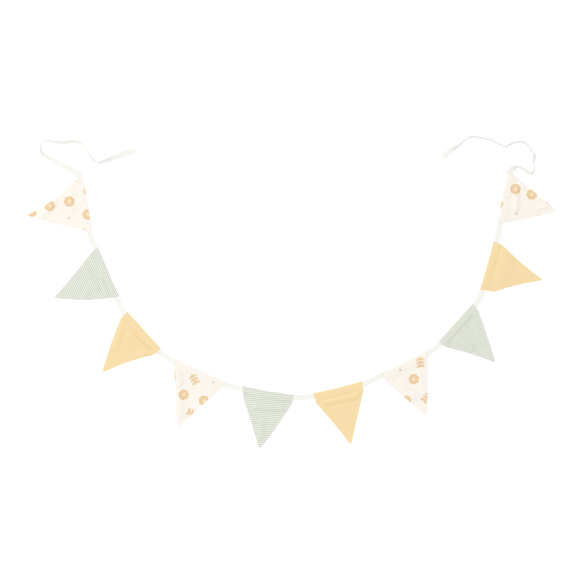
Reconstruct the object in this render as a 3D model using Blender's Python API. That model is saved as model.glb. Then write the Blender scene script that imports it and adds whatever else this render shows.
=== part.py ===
"""Fabric bunting: ten pentagon flags threaded by their casings on one long twill tape, laid out in a U.

The flags lie face up on z = 0 with their tips pointing out of the U. Sizes are in metres and angles in
degrees. A flag's own frame has +X along its top fold, from left to right, and -Y towards its tip; a place
on a flag is given by its x and by its drop, the distance below the top fold.
"""

import math
from collections import namedtuple

import bmesh
import bpy
from mathutils import Matrix, Vector

TAPE_WIDTH = 0.017
TAPE_THICK = 0.001
CLOTH_THICK = 0.0012
LAYER_THICK = 0.001
CLEAR = 0.0003

# A casing, by drop: the tape runs in a tunnel between the top fold and the stitch line.
TUNNEL_START = 0.001
TUNNEL_END = 0.022
STITCH_LINE = 0.024
HEM_END = 0.028
SLOPE_END = 0.038
TAPE_DROP = TUNNEL_START + CLEAR + TAPE_WIDTH / 2
TAPE_BASE = LAYER_THICK + CLEAR
CEILING = TAPE_BASE + TAPE_THICK + CLEAR
CASING_TOP = CEILING + LAYER_THICK

# The height of a flag's upper face, and of its lower face, at each drop where it bends.
UPPER_FACE = (
    (0.0, 0.0026),
    (TUNNEL_START, CASING_TOP - 0.0002),
    (TAPE_DROP, CASING_TOP + 0.0002),
    (TUNNEL_END, CASING_TOP - 0.0002),
    (STITCH_LINE, 0.0023),
    (HEM_END, 0.0021),
    (SLOPE_END, CLOTH_THICK),
)
LOWER_FACE = ((0.0, 0.0006), (TUNNEL_START, 0.0))

TIP_WIDTH = 0.004
COLUMNS = 12
ROW_STEP = 0.013
SHORTEST_ROW = 0.0015
FOLD_FADE = 0.012

# The middle (x, y) of the line between the top fold's ends, its turn and width, and how far the fold sags
# below it; where each casing end stops, inwards from the fold's end and down from it; the tip; and how far
# each long side bulges out (or, if negative, in) halfway.
Flag = namedtuple(
    "Flag",
    "x y turn width sag left_in left_drop right_in right_drop tip_x tip_drop left_bow right_bow",
)
FLAGS = (
    Flag(-0.612, 0.260, -80.5, 0.154, 0.0, -0.003, 0.026, 0.008, 0.024, -0.002, 0.181, -0.009, 0.003),
    Flag(-0.549, 0.062, -66.9, 0.159, 0.0015, 0.006, 0.026, 0.006, 0.027, 0.007, 0.178, -0.002, 0.006),
    Flag(-0.444, -0.113, -48.0, 0.148, 0.0, 0.002, 0.028, -0.001, 0.026, 0.010, 0.174, 0.003, -0.005),
    Flag(-0.276, -0.233, -24.9, 0.158, 0.0, 0.010, 0.032, 0.000, 0.029, 0.013, 0.181, 0.001, -0.003),
    Flag(-0.071, -0.293, -9.8, 0.153, 0.0025, 0.005, 0.032, 0.000, 0.027, 0.004, 0.176, -0.001, 0.003),
    Flag(0.137, -0.284, 13.6, 0.150, 0.0020, 0.002, 0.034, 0.003, 0.030, -0.002, 0.174, -0.003, -0.001),
    Flag(0.335, -0.207, 26.2, 0.150, 0.0020, 0.002, 0.036, 0.009, 0.031, -0.010, 0.174, -0.001, 0.000),
    Flag(0.491, -0.090, 48.0, 0.153, 0.0, 0.002, 0.027, 0.006, 0.029, -0.009, 0.166, -0.003, 0.001),
    Flag(0.584, 0.081, 74.2, 0.147, 0.0015, 0.003, 0.041, 0.001, 0.026, 0.004, 0.170, -0.004, -0.004),
    Flag(0.632, 0.289, 78.8, 0.153, 0.0, -0.001, 0.019, 0.008, 0.021, -0.012, 0.165, 0.003, 0.000),
)

# A soft ridge where the cloth of a flag, counted from the left end, lifts off the surface: the two ends of
# its crest, how far its flank reaches to each side, and its height.
Fold = namedtuple("Fold", "flag x1 drop1 x2 drop2 reach height")
FOLDS = (
    Fold(1, -0.048, 0.044, 0.002, 0.048, 0.018, 0.0040),
    Fold(1, -0.026, 0.098, 0.006, 0.140, 0.018, 0.0030),
    Fold(2, -0.040, 0.060, 0.030, 0.052, 0.018, 0.0035),
    Fold(2, 0.020, 0.070, 0.050, 0.110, 0.016, 0.0025),
    Fold(3, -0.016, 0.041, 0.056, 0.039, 0.017, 0.0045),
    Fold(3, -0.050, 0.046, -0.020, 0.096, 0.016, 0.0025),
    Fold(4, -0.056, 0.034, -0.042, 0.060, 0.020, 0.0050),
    Fold(4, -0.026, 0.090, 0.004, 0.146, 0.016, 0.0030),
    Fold(5, -0.032, 0.055, 0.048, 0.047, 0.015, 0.0042),
    Fold(5, -0.002, 0.098, 0.004, 0.140, 0.016, 0.0025),
    Fold(6, -0.046, 0.034, 0.046, 0.037, 0.017, 0.0045),
    Fold(7, -0.034, 0.052, -0.020, 0.104, 0.020, 0.0030),
    Fold(7, 0.030, 0.050, 0.018, 0.100, 0.016, 0.0025),
    Fold(8, -0.034, 0.040, -0.026, 0.084, 0.018, 0.0045),
    Fold(8, 0.034, 0.046, 0.012, 0.100, 0.016, 0.0025),
    Fold(9, -0.022, 0.052, 0.050, 0.042, 0.042, 0.0032),
    Fold(10, -0.030, 0.046, 0.028, 0.036, 0.016, 0.0050),
    Fold(10, -0.016, 0.110, 0.000, 0.140, 0.014, 0.0025),
)

# The free ties, from the casing to the square-cut end. At a roll of 0 or 180 the tape lies flat, and at
# 90 it stands on its edge.
TiePoint = namedtuple("TiePoint", "x y roll")
LEFT_TIE = (
    TiePoint(-0.641, 0.355, 8),
    TiePoint(-0.674, 0.374, 12),
    TiePoint(-0.713, 0.396, 26),
    TiePoint(-0.741, 0.411, 52),
    TiePoint(-0.753, 0.427, 74),
    TiePoint(-0.753, 0.443, 88),
    TiePoint(-0.744, 0.453, 92),
    TiePoint(-0.729, 0.455, 74),
    TiePoint(-0.692, 0.4490, 60),
    TiePoint(-0.649, 0.4530, 58),
    TiePoint(-0.627, 0.4430, 56),
    TiePoint(-0.614, 0.4240, 62),
    TiePoint(-0.608, 0.4150, 110),
    TiePoint(-0.600, 0.4030, 114),
    TiePoint(-0.592, 0.3915, 110),
    TiePoint(-0.585, 0.3880, 74),
    TiePoint(-0.574, 0.3900, 68),
    TiePoint(-0.562, 0.3935, 54),
    TiePoint(-0.540, 0.4020, 30),
    TiePoint(-0.516, 0.4115, 10),
    TiePoint(-0.495, 0.4180, 0),
    TiePoint(-0.467, 0.4255, 0),
)
RIGHT_TIE = (
    TiePoint(0.659, 0.3685, 10),
    TiePoint(0.668, 0.3755, 42),
    TiePoint(0.676, 0.3770, 72),
    TiePoint(0.686, 0.3745, 74),
    TiePoint(0.696, 0.3685, 68),
    TiePoint(0.706, 0.3600, 66),
    TiePoint(0.718, 0.3565, 66),
    TiePoint(0.725, 0.3640, 68),
    TiePoint(0.727, 0.3800, 68),
    TiePoint(0.724, 0.3920, 64),
    TiePoint(0.728, 0.4090, 50),
    TiePoint(0.724, 0.4180, 62),
    TiePoint(0.719, 0.4255, 112),
    TiePoint(0.707, 0.4410, 112),
    TiePoint(0.696, 0.4495, 112),
    TiePoint(0.687, 0.4525, 110),
    TiePoint(0.665, 0.4490, 110),
    TiePoint(0.643, 0.4375, 114),
    TiePoint(0.637, 0.4375, 112),
    TiePoint(0.621, 0.4450, 110),
    TiePoint(0.597, 0.4570, 110),
    TiePoint(0.572, 0.4630, 110),
    TiePoint(0.546, 0.4665, 110),
    TiePoint(0.531, 0.4645, 108),
    TiePoint(0.513, 0.4525, 108),
    TiePoint(0.502, 0.4435, 112),
    TiePoint(0.492, 0.4365, 124),
    TiePoint(0.481, 0.4285, 154),
    TiePoint(0.472, 0.4215, 180),
    TiePoint(0.453, 0.4065, 180),
)
MOUTH = 0.002
STEP_DOWN = 0.014
TIE_STEP = 0.004
SPAN_STEP = 0.008
SPAN_PULL = 0.5
CASING_STEPS = 8
BLEND_STEPS = 24

# The cloths, in the order in which they repeat along the garland, and their colours.
CLOTH_COLOURS = {
    "print": (0.93, 0.87, 0.80),
    "stripe": (0.76, 0.79, 0.72),
    "plain": (0.95, 0.74, 0.43),
}
TAPE_COLOUR = (0.94, 0.92, 0.86)
CLOTH_ROUGHNESS = 0.9


def remove_scene_objects():
    for thing in list(bpy.data.objects):
        bpy.data.objects.remove(thing, do_unlink=True)


def fabric_material(name, colour):
    material = bpy.data.materials.new(name)
    material.use_nodes = True
    shader = material.node_tree.nodes["Principled BSDF"]
    shader.inputs["Base Color"].default_value = (*colour, 1.0)
    shader.inputs["Roughness"].default_value = CLOTH_ROUGHNESS
    shader.inputs["Metallic"].default_value = 0.0
    return material


def add_object(name, mesh, material, parent):
    data = bpy.data.meshes.new(name)
    bmesh.ops.recalc_face_normals(mesh, faces=mesh.faces)
    mesh.to_mesh(data)
    mesh.free()
    data.materials.append(material)
    thing = bpy.data.objects.new(name, data)
    thing.parent = parent
    bpy.context.scene.collection.objects.link(thing)
    return thing


def ease(share):
    """A smooth step from 0 to 1."""
    share = min(max(share, 0.0), 1.0)
    return share * share * (3 - 2 * share)


def height_at(profile, drop):
    """The height on a profile of (drop, height) corners, level beyond its ends."""
    before = profile[0]
    for after in profile:
        if drop <= after[0]:
            width = after[0] - before[0]
            share = (drop - before[0]) / width if width else 0.0
            return before[1] + share * (after[1] - before[1])
        before = after
    return before[1]


def side_x(drop, top, corner, corner_drop, tip, tip_drop, bow):
    """A side edge's x at a drop: along the casing's end, then along the long side, bulged by bow."""
    if drop <= corner_drop:
        return top + (corner - top) * drop / corner_drop
    share = (drop - corner_drop) / (tip_drop - corner_drop)
    return corner + (tip - corner) * share + 4 * bow * share * (1 - share)


def row_ends(flag, drop):
    """The x of a flag's left and right edges at a drop."""
    half = flag.width / 2
    left_tip = flag.tip_x - TIP_WIDTH / 2
    right_tip = flag.tip_x + TIP_WIDTH / 2
    left = side_x(drop, -half, flag.left_in - half, flag.left_drop, left_tip, flag.tip_drop, -flag.left_bow)
    corner = half - flag.right_in
    right = side_x(drop, half, corner, flag.right_drop, right_tip, flag.tip_drop, flag.right_bow)
    return left, right


def sag_at(flag, x):
    """How far a flag's top fold sags at an x."""
    across = 2 * x / flag.width
    return flag.sag * max(1 - across * across, 0.0)


def row_drops(flag):
    """The drops of the rows: the casing's own bends, both side corners, then even steps to the tip."""
    drops = [0.0, TUNNEL_START, TAPE_DROP, TUNNEL_END, STITCH_LINE, HEM_END]
    for corner in (flag.left_drop, flag.right_drop):
        if all(abs(corner - drop) >= SHORTEST_ROW for drop in drops):
            drops.append(corner)
    drops.sort()
    start = drops[-1]
    steps = round((flag.tip_drop - start) / ROW_STEP)
    for step in range(1, steps + 1):
        drops.append(start + (flag.tip_drop - start) * step / steps)
    return drops


def lift_at(number, x, drop):
    """How far the cloth of a flag lifts off the surface at a place on it."""
    height = 0.0
    place = Vector((x, drop))
    for fold in FOLDS:
        if fold.flag != number:
            continue
        start = Vector((fold.x1, fold.drop1))
        run = Vector((fold.x2, fold.drop2)) - start
        share = min(max((place - start).dot(run) / run.length_squared, 0.0), 1.0)
        away = (place - start - run * share).length
        if away < fold.reach:
            height += fold.height * (1 + math.cos(math.pi * away / fold.reach)) / 2
    return height * ease((drop - HEM_END) / FOLD_FADE)


def flag_mesh(number, flag):
    """One flag as a closed solid: its upper and lower faces, its edges, and the tunnel in its casing."""
    mesh = bmesh.new()
    drops = row_drops(flag)
    first = drops.index(TUNNEL_START)
    last = drops.index(TUNNEL_END)
    upper, lower, ceiling, floor = [], [], [], []
    for column in range(COLUMNS + 1):
        upper.append([])
        lower.append([])
        ceiling.append({})
        floor.append({})
        for row, drop in enumerate(drops):
            left, right = row_ends(flag, drop)
            x = left + (right - left) * column / COLUMNS
            y = -drop - sag_at(flag, x) * (1 - drop / flag.tip_drop)
            lift = lift_at(number, x, drop)
            upper[-1].append(mesh.verts.new((x, y, lift + height_at(UPPER_FACE, drop))))
            lower[-1].append(mesh.verts.new((x, y, lift + height_at(LOWER_FACE, drop))))
            if first <= row <= last:
                ceiling[-1][row] = mesh.verts.new((x, y, CEILING))
                floor[-1][row] = mesh.verts.new((x, y, LAYER_THICK))

    for here, there in zip(range(COLUMNS), range(1, COLUMNS + 1)):
        for row in range(len(drops) - 1):
            below = row + 1
            sheets = [upper, lower]
            if first <= row < last:
                sheets += [ceiling, floor]
            for sheet in sheets:
                mesh.faces.new((sheet[here][row], sheet[here][below], sheet[there][below], sheet[there][row]))
        for row in (0, len(drops) - 1):
            mesh.faces.new((upper[here][row], upper[there][row], lower[there][row], lower[here][row]))
        for row in (first, last):
            mesh.faces.new((ceiling[here][row], ceiling[there][row], floor[there][row], floor[here][row]))

    for column in (0, COLUMNS):
        for row in range(len(drops) - 1):
            below = row + 1
            if first <= row < last:
                for top, base in ((upper[column], ceiling[column]), (floor[column], lower[column])):
                    mesh.faces.new((top[row], top[below], base[below], base[row]))
                continue
            ring = [upper[column][row], upper[column][below]]
            if below == first:
                ring += [ceiling[column][below], floor[column][below]]
            ring += [lower[column][below], lower[column][row]]
            if row == last:
                ring += [floor[column][row], ceiling[column][row]]
            mesh.faces.new(ring)
    return mesh


def direction(angle):
    return Vector((math.cos(math.radians(angle)), math.sin(math.radians(angle))))


def casing_line(flag):
    """The tape's middle line through a flag's casing, in plan, from just outside one mouth to the other."""
    along = direction(flag.turn)
    outward = Vector((along.y, -along.x))
    line = []
    for step in range(CASING_STEPS + 1):
        x = flag.width * (step / CASING_STEPS - 0.5)
        line.append(Vector((flag.x, flag.y)) + along * x + outward * (TAPE_DROP + sag_at(flag, x)))
    into, out = mouth_headings(flag)
    return [line[0] - into * MOUTH, *line, line[-1] + out * MOUTH]


def mouth_headings(flag):
    """The tape's headings where it enters and leaves a flag's casing."""
    slope = math.degrees(math.atan(4 * flag.sag / flag.width))
    return direction(flag.turn - slope), direction(flag.turn + slope)


def curve_point(points, index, share):
    """A point on the smooth curve through points, between points[index] and the next."""
    before = points[max(index - 1, 0)]
    start = points[index]
    end = points[index + 1]
    after = points[min(index + 2, len(points) - 1)]
    out = (end - before) / 2
    into = (after - start) / 2
    square = share * share
    cube = square * share
    return (
        start * (2 * cube - 3 * square + 1)
        + out * (cube - 2 * square + share)
        + end * (3 * square - 2 * cube)
        + into * (cube - square)
    )


def even_stations(dense, step):
    """Even steps along a dense line of (point, roll), both ends included."""
    travelled = [0.0]
    for before, after in zip(dense, dense[1:]):
        travelled.append(travelled[-1] + (after[0] - before[0]).length)
    count = round(travelled[-1] / step)
    stations = []
    segment = 0
    for index in range(count + 1):
        wanted = travelled[-1] * index / count
        while segment < len(dense) - 2 and travelled[segment + 1] < wanted:
            segment += 1
        share = (wanted - travelled[segment]) / (travelled[segment + 1] - travelled[segment])
        point = dense[segment][0].lerp(dense[segment + 1][0], share)
        roll = dense[segment][1] + (dense[segment + 1][1] - dense[segment][1]) * share
        stations.append((point, roll, wanted))
    return stations


def tie_stations(mouth, heading, tie):
    """A free tie's stations (point, roll, distance from its casing), from the casing out."""
    first = mouth + heading * MOUTH
    points = [mouth, first] + [Vector((row.x, row.y)) for row in tie]
    rolls = [0.0, 0.0] + [row.roll for row in tie]
    dense = []
    for index in range(len(points) - 1):
        for step in range(BLEND_STEPS):
            share = step / BLEND_STEPS
            roll = rolls[index] + (rolls[index + 1] - rolls[index]) * ease(share)
            dense.append((curve_point(points, index, share), roll))
    dense.append((points[-1], rolls[-1]))
    return even_stations(dense, TIE_STEP)


def span_stations(start, start_heading, end, end_heading):
    """The stations of the flat tape between two casings: a curve that leaves and enters them straight."""
    pull = (end - start).length * SPAN_PULL
    dense = []
    for step in range(BLEND_STEPS + 1):
        share = step / BLEND_STEPS
        square = share * share
        cube = square * share
        point = (
            start * (2 * cube - 3 * square + 1)
            + start_heading * pull * (cube - 2 * square + share)
            + end * (3 * square - 2 * cube)
            + end_heading * pull * (cube - square)
        )
        dense.append((point, 0.0))
    return even_stations(dense, SPAN_STEP)


def tape_route():
    """The whole tape as (plan point, roll, height of its lowest edge), from the left tie's end."""
    route = []
    lines = [casing_line(flag) for flag in FLAGS]
    headings = [mouth_headings(flag) for flag in FLAGS]

    left = tie_stations(lines[0][0], -headings[0][0], LEFT_TIE)
    for point, roll, travelled in reversed(left):
        route.append((point, -roll, TAPE_BASE * (1 - ease(travelled / STEP_DOWN))))
    for index, line in enumerate(lines):
        route += [(point, 0.0, TAPE_BASE) for point in line[1:]]
        if index + 1 < len(lines):
            following = index + 1
            span = span_stations(line[-1], headings[index][1], lines[following][0], headings[following][0])
            length = span[-1][2]
            for point, roll, travelled in span[1:]:
                nearest = min(travelled, length - travelled)
                route.append((point, roll, TAPE_BASE * (1 - ease(nearest / STEP_DOWN))))
    right = tie_stations(lines[-1][-1], headings[-1][1], RIGHT_TIE)
    for point, roll, travelled in right[1:]:
        route.append((point, roll, TAPE_BASE * (1 - ease(travelled / STEP_DOWN))))
    return route


def tape_mesh():
    """The tape as one closed solid: a flat section swept along its route, turned by its roll.

    The quads of its two broad faces start at matching corners, so that both are split along the same
    diagonal and stay parallel where the tape twists.
    """
    mesh = bmesh.new()
    route = tape_route()
    rings = []
    for index, (point, roll, base) in enumerate(route):
        before = route[max(index - 1, 0)][0]
        after = route[min(index + 1, len(route) - 1)][0]
        along = (after - before).normalized()
        sideways = Vector((-along.y, along.x, 0.0))
        turned = Matrix.Rotation(math.radians(roll), 3, Vector((along.x, along.y, 0.0)))
        across = turned @ sideways * (TAPE_WIDTH / 2)
        through = turned @ Vector((0.0, 0.0, TAPE_THICK / 2))
        middle = Vector((point.x, point.y, base + abs(across.z) + abs(through.z)))
        corners = (middle - across - through, middle + across - through)
        corners += (middle + across + through, middle - across + through)
        rings.append([mesh.verts.new(corner) for corner in corners])
    for ring, following in zip(rings, rings[1:]):
        for corner in range(4):
            beside = (corner + 1) % 4
            quad = (ring[corner], ring[beside], following[beside], following[corner])
            mesh.faces.new(quad if corner < 2 else quad[1:] + quad[:1])
    mesh.faces.new(rings[0])
    mesh.faces.new(rings[-1])
    return mesh


def build():
    remove_scene_objects()
    bunting = bpy.data.objects.new("bunting", None)
    bpy.context.scene.collection.objects.link(bunting)
    cloths = {name: fabric_material(name + "_cloth", colour) for name, colour in CLOTH_COLOURS.items()}
    for number, flag in enumerate(FLAGS, start=1):
        cloth = list(cloths)[(number - 1) % len(cloths)]
        name = f"flag_{number:02d}_{cloth}"
        thing = add_object(name, flag_mesh(number, flag), cloths[cloth], bunting)
        thing.location = (flag.x, flag.y, 0.0)
        thing.rotation_euler = (0.0, 0.0, math.radians(flag.turn))
    add_object("tape", tape_mesh(), fabric_material("tape", TAPE_COLOUR), bunting)


build()
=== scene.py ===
"""Looks of the fabric bunting: ten cloth flags with stitched casings, threaded on a twill tape in a U.

Sizes are in metres and angles in degrees. The flags lie face up on z = 0 with their tips pointing out of
the U. A flag's own frame has +X along its top fold, from left to right, and -Y towards its tip; a place on
a flag is given by its x and by its drop, the distance below the top fold.
"""

import math
from collections import namedtuple

import bmesh
import bpy
import numpy as np
from mathutils import Matrix, Vector, noise


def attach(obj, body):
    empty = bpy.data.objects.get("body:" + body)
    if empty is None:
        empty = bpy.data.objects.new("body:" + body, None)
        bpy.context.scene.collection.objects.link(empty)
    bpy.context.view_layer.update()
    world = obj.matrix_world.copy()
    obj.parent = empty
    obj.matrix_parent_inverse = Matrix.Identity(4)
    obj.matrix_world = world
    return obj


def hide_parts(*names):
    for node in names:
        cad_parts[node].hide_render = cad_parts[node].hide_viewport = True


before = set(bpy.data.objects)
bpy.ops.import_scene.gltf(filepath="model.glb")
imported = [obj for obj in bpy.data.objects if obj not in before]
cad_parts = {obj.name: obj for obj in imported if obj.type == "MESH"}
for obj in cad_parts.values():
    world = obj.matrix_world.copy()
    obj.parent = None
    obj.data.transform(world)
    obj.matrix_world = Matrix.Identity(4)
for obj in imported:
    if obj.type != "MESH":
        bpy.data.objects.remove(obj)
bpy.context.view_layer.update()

TAPE_WIDTH = 0.017
TAPE_THICK = 0.0009

# A flag's casing, by drop.
TUNNEL_START = 0.001
TUNNEL_END = 0.022
STITCH_LINE = 0.024
HEM_END = 0.028
TAPE_DROP = 0.0098
TAPE_BASE = 0.0013

# The height of a flag's upper face at each drop, before its folds.
UPPER_FACE = (
    (0.0, 0.0024), (0.0005, 0.0030), (0.0015, 0.0034), (0.0050, 0.0037), (0.0100, 0.0038),
    (0.0160, 0.0036), (0.0195, 0.0033), (0.0220, 0.0028), (0.0234, 0.0025), (0.0240, 0.0023),
    (0.0247, 0.0024), (0.0262, 0.0024), (0.0290, 0.0022), (0.0330, 0.0015), (0.0380, 0.0012),
)
LAYER_THICK = 0.0008
CEILING = 0.0024
THINNEST = 0.0004

# The turned side hems: the face slopes down a little inside them, and the underside steps up.
HEM_WIDTH = 0.008
HEM_EDGE = 0.0004
HEM_INNER = HEM_WIDTH - HEM_EDGE
TURNED_UNDER = 0.0075
FACE_STEP = 0.0002
FACE_SLOPE_START = 0.007
FACE_SLOPE = 0.004
SINGLE_BASE = 0.0004

TIP_WIDTH = 0.004
TIP_ROUND = 0.002
TIP_LAST = 0.98
FOLD_FADE = 0.012
FACE_FADE = 0.011
EDGE_ROUND = 0.0003
RIM_TURNS = (45, 90, 135)
SHARP_ANGLE = 65
CORNER_SOFTNESS = 0.003
CORNER_SAMPLES = 7
EDGE_WOBBLE = 0.0005
WOBBLE_SIZE = 0.022
WOBBLE_PLACES = (0.0, 5.0)

# The rows of a flag's mesh, by drop, finest at the top fold and the stitches; those at the tip are shares
# of its round end. Its columns, by inset from a long side, and how much of a narrow row each hem takes.
FOLD_ROWS = (EDGE_ROUND, 0.0006, TUNNEL_START, 0.0016, 0.0028, 0.0044)
CASING_STEP = 0.0018
CASING_ROWS_END = 0.0185
STITCH_STEP = 0.0006
BEFORE_STITCHES = (TUNNEL_END, 0.0226, 0.0231, 0.0234, 0.0237)
PAST_STITCHES = (0.0243, 0.0247, 0.0252, 0.0257, 0.0262, 0.0268, 0.0274, HEM_END, HEM_END + HEM_EDGE)
FINE_ROWS_END = 0.034
BODY_STEP = 0.0015
TIP_ROWS = (0.65, 0.38, 0.18, 0.05)
MIDDLE_COLUMNS = 84
EDGE_INSETS = (0.0, 0.0008, 0.0020, 0.0040, 0.0062, HEM_INNER, HEM_WIDTH)
HEM_SHARE = 0.45

# The middle (x, y) of the line between the top fold's ends, its turn and width, and how far the fold sags
# below it; where each casing end stops, inwards from the fold's end and down from it; the tip; and how far
# each long side bulges out (or, if negative, in) halfway.
Flag = namedtuple(
    "Flag",
    "x y turn width sag left_in left_drop right_in right_drop tip_x tip_drop left_bow right_bow",
)
FLAGS = (
    Flag(-0.612, 0.260, -80.5, 0.154, 0.0, -0.003, 0.026, 0.008, 0.024, -0.002, 0.181, -0.009, 0.003),
    Flag(-0.549, 0.062, -66.9, 0.159, 0.0015, 0.006, 0.026, 0.006, 0.027, 0.007, 0.178, -0.002, 0.006),
    Flag(-0.444, -0.113, -48.0, 0.148, 0.0, 0.002, 0.028, -0.001, 0.026, 0.010, 0.174, 0.003, -0.005),
    Flag(-0.276, -0.233, -24.9, 0.158, 0.0, 0.010, 0.032, 0.000, 0.029, 0.013, 0.181, 0.001, -0.003),
    Flag(-0.071, -0.293, -9.8, 0.153, 0.0025, 0.005, 0.032, 0.000, 0.027, 0.004, 0.176, -0.001, 0.003),
    Flag(0.137, -0.284, 13.6, 0.150, 0.0020, 0.002, 0.034, 0.003, 0.030, -0.002, 0.174, -0.003, -0.001),
    Flag(0.335, -0.207, 26.2, 0.150, 0.0020, 0.002, 0.036, 0.009, 0.031, -0.010, 0.174, -0.001, 0.000),
    Flag(0.491, -0.090, 48.0, 0.153, 0.0, 0.002, 0.027, 0.006, 0.029, -0.009, 0.166, -0.003, 0.001),
    Flag(0.584, 0.081, 74.2, 0.147, 0.0015, 0.003, 0.041, 0.001, 0.026, 0.004, 0.170, -0.004, -0.004),
    Flag(0.632, 0.289, 78.8, 0.153, 0.0, -0.001, 0.019, 0.008, 0.021, -0.012, 0.165, 0.003, 0.000),
)
CLOTH_ORDER = ("print", "stripe", "plain")

# How each flag was cut from its cloth: the place on the cloth under the middle of its top fold, and how
# far the cloth's pattern is turned on it.
Cut = namedtuple("Cut", "u v turn")
CUTS = (
    Cut(0.240, 0.420, 8.0), Cut(0.010, 0.001, 3.7), Cut(0.020, 0.040, 1.0), Cut(0.260, 0.340, -12.0),
    Cut(0.020, 0.003, 6.0), Cut(0.310, 0.250, -1.0), Cut(0.280, 0.200, 15.0), Cut(0.030, 0.002, -0.3),
    Cut(0.630, 0.120, 0.5), Cut(0.700, 0.120, -6.0),
)

# A soft ridge where the cloth of a flag, counted from the left end, lifts off the surface: the two ends of
# its crest, how far its flank reaches to each side, and its height.
Fold = namedtuple("Fold", "flag x1 drop1 x2 drop2 reach height")
FOLDS = (
    Fold(1, -0.048, 0.044, 0.002, 0.048, 0.018, 0.0040),
    Fold(1, -0.026, 0.098, 0.006, 0.140, 0.018, 0.0030),
    Fold(2, -0.040, 0.060, 0.030, 0.052, 0.018, 0.0035),
    Fold(2, 0.020, 0.070, 0.050, 0.110, 0.016, 0.0025),
    Fold(3, -0.016, 0.041, 0.056, 0.039, 0.017, 0.0045),
    Fold(3, -0.050, 0.046, -0.020, 0.096, 0.016, 0.0025),
    Fold(4, -0.056, 0.034, -0.042, 0.060, 0.020, 0.0050),
    Fold(4, -0.026, 0.090, 0.004, 0.146, 0.016, 0.0030),
    Fold(5, -0.032, 0.055, 0.048, 0.047, 0.015, 0.0042),
    Fold(5, -0.002, 0.098, 0.004, 0.140, 0.016, 0.0025),
    Fold(6, -0.046, 0.034, 0.046, 0.037, 0.017, 0.0045),
    Fold(7, -0.034, 0.052, -0.020, 0.104, 0.020, 0.0030),
    Fold(7, 0.030, 0.050, 0.018, 0.100, 0.016, 0.0025),
    Fold(8, -0.034, 0.040, -0.026, 0.084, 0.018, 0.0045),
    Fold(8, 0.034, 0.046, 0.012, 0.100, 0.016, 0.0025),
    Fold(9, -0.022, 0.052, 0.050, 0.042, 0.042, 0.0032),
    Fold(10, -0.030, 0.046, 0.028, 0.036, 0.016, 0.0050),
    Fold(10, -0.016, 0.110, 0.000, 0.140, 0.014, 0.0025),
)

# Finer creases in the cloth's face alone, with the same columns. A negative height is a trough.
CREASES = (
    Fold(1, -0.070, 0.0110, -0.034, 0.0095, 0.0018, -0.0009),
    Fold(1, -0.042, 0.0255, -0.004, 0.0280, 0.0040, -0.0008),
    Fold(2, 0.016, 0.0248, 0.071, 0.0240, 0.0040, -0.0018),
    Fold(2, -0.071, 0.0215, -0.041, 0.0262, 0.0030, -0.0008),
    Fold(3, -0.008, 0.0292, 0.024, 0.0274, 0.0026, -0.0013),
    Fold(3, 0.024, 0.0274, 0.066, 0.0208, 0.0032, -0.0016),
    Fold(3, -0.065, 0.0230, -0.044, 0.0220, 0.0030, -0.0006),
    Fold(4, -0.054, 0.0280, -0.032, 0.0208, 0.0024, -0.0010),
    Fold(4, -0.032, 0.0208, -0.011, 0.0272, 0.0026, -0.0013),
    Fold(4, -0.011, 0.0272, 0.002, 0.0400, 0.0030, -0.0013),
    Fold(5, -0.020, 0.0200, 0.027, 0.0238, 0.0028, -0.0006),
    Fold(5, 0.027, 0.0238, 0.074, 0.0240, 0.0028, -0.0010),
    Fold(5, -0.074, 0.0210, -0.057, 0.0236, 0.0028, -0.0017),
    Fold(5, -0.057, 0.0246, -0.034, 0.0240, 0.0018, 0.0007),
    Fold(5, -0.024, 0.0630, 0.051, 0.0550, 0.0040, -0.0006),
    Fold(8, -0.062, 0.0236, 0.048, 0.0236, 0.0028, -0.0018),
    Fold(10, 0.036, 0.0210, 0.066, 0.0190, 0.0022, -0.0009),
)

# Soft wrinkles all over a flag, calmer on its casing, and small puckers beside its stitches.
WRINKLE_SIZE = 0.030
WRINKLE_HEIGHT = 0.0004
WRINKLE_SEED = 3.7
CASING_CALM = 0.35
PUCKER_SIZE = 0.009
PUCKER_STRETCH = 0.35
PUCKER_HEIGHT = 0.0004
PUCKER_START = 0.003
PUCKER_REACH = 0.014
PUCKER_SEED = 1.9

STITCH_PITCH = 0.0032
STITCH_LENGTH = 0.0025
THREAD_RADIUS = 0.00022
THREAD_SIDES = 6
STITCH_MARGIN = 0.003
BOBBIN_GROOVE = 0.0005
BOBBIN_WIDTH = 0.0004

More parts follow.
